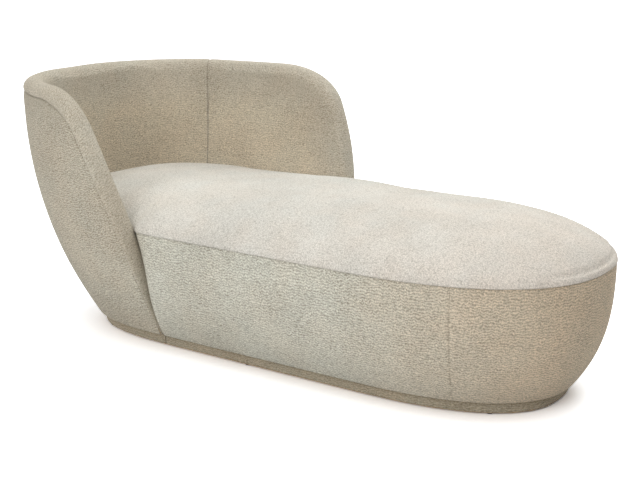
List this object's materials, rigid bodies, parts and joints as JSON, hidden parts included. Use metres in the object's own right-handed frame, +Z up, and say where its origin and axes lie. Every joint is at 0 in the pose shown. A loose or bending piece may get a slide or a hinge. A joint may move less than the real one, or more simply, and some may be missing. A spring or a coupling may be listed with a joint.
{
  "type": "chaise longue",
  "caption": "Upholstered chaise longue: a tub back with swept uneven wings wrapped round the head end of a long domed seat that curves in to a low plinth.",
  "frame": {"origin": "on the floor in the middle of the overall box", "axes": "+X along the seat towards the foot end, +Z up, -Y the side of the short wing, where a person gets on"},
  "size_m": [1.75, 0.8586, 0.7268],
  "materials": {
    "upholstery": "looped warm cream chenille, matt",
    "plinth_wrap": "the same cloth pulled tight round the plinth, browner in its shade",
    "foam": "open-cell upholstery foam, cream",
    "plywood": "raw birch plywood, bent in the panels",
    "timber": "planed hardwood",
    "webbing": "woven elastic webbing, dark grey",
    "glide": "black, matt",
    "link_steel": "zinc-plated"
  },
  "bodies": {
    "root": {"back_base_board_far": "plywood", "back_base_board_near": "plywood", "back_far_wing_post": "timber", "back_inner_cover_far": "upholstery", "back_inner_cover_near": "upholstery", "back_inner_pad_far": "foam", "back_inner_pad_head": "foam", "back_inner_pad_near": "foam", "back_inner_panel": "plywood", "back_near_wing_post": "timber", "back_outer_cover": "upholstery", "back_outer_pad_far": "foam", "back_outer_pad_near": "foam", "back_outer_panel": "plywood", "back_rib_1": "plywood", "back_rib_2": "plywood", "back_rib_3": "plywood", "back_rib_4": "plywood", "back_rib_5": "plywood", "back_rib_6": "plywood", "back_rim_roll_far": "foam", "back_rim_roll_near": "foam", "back_top_rail": "timber", "glide_foot_far": "glide", "glide_foot_near": "glide", "glide_head_far": "glide", "glide_head_near": "glide", "glide_middle_far": "glide", "glide_middle_near": "glide", "link_plate_far": "link_steel", "link_plate_near": "link_steel", "plinth_cross_rail_1": "plywood", "plinth_cross_rail_2": "plywood", "plinth_foot": "plywood", "plinth_head": "plywood", "plinth_side_far": "plywood", "plinth_side_near": "plywood", "plinth_wrap_back": "plinth_wrap", "plinth_wrap_seat": "plinth_wrap", "seat_band_cover_far": "upholstery", "seat_band_cover_foot": "upholstery", "seat_band_cover_near": "upholstery", "seat_base_board": "plywood", "seat_crown_pad": "foam", "seat_far_deck_rail": "timber", "seat_far_pad": "foam", "seat_foam_core": "foam", "seat_foot_deck_rail": "timber", "seat_foot_pad": "foam", "seat_head_deck_rail": "timber", "seat_near_deck_rail": "timber", "seat_near_pad": "foam", "seat_panel": "plywood", "seat_rib_1": "plywood", "seat_rib_2": "plywood", "seat_rib_3": "plywood", "seat_rib_4": "plywood", "seat_rib_5": "plywood", "seat_top_cover": "upholstery", "seat_webbing": "webbing"}
  },
  "joints": []
}
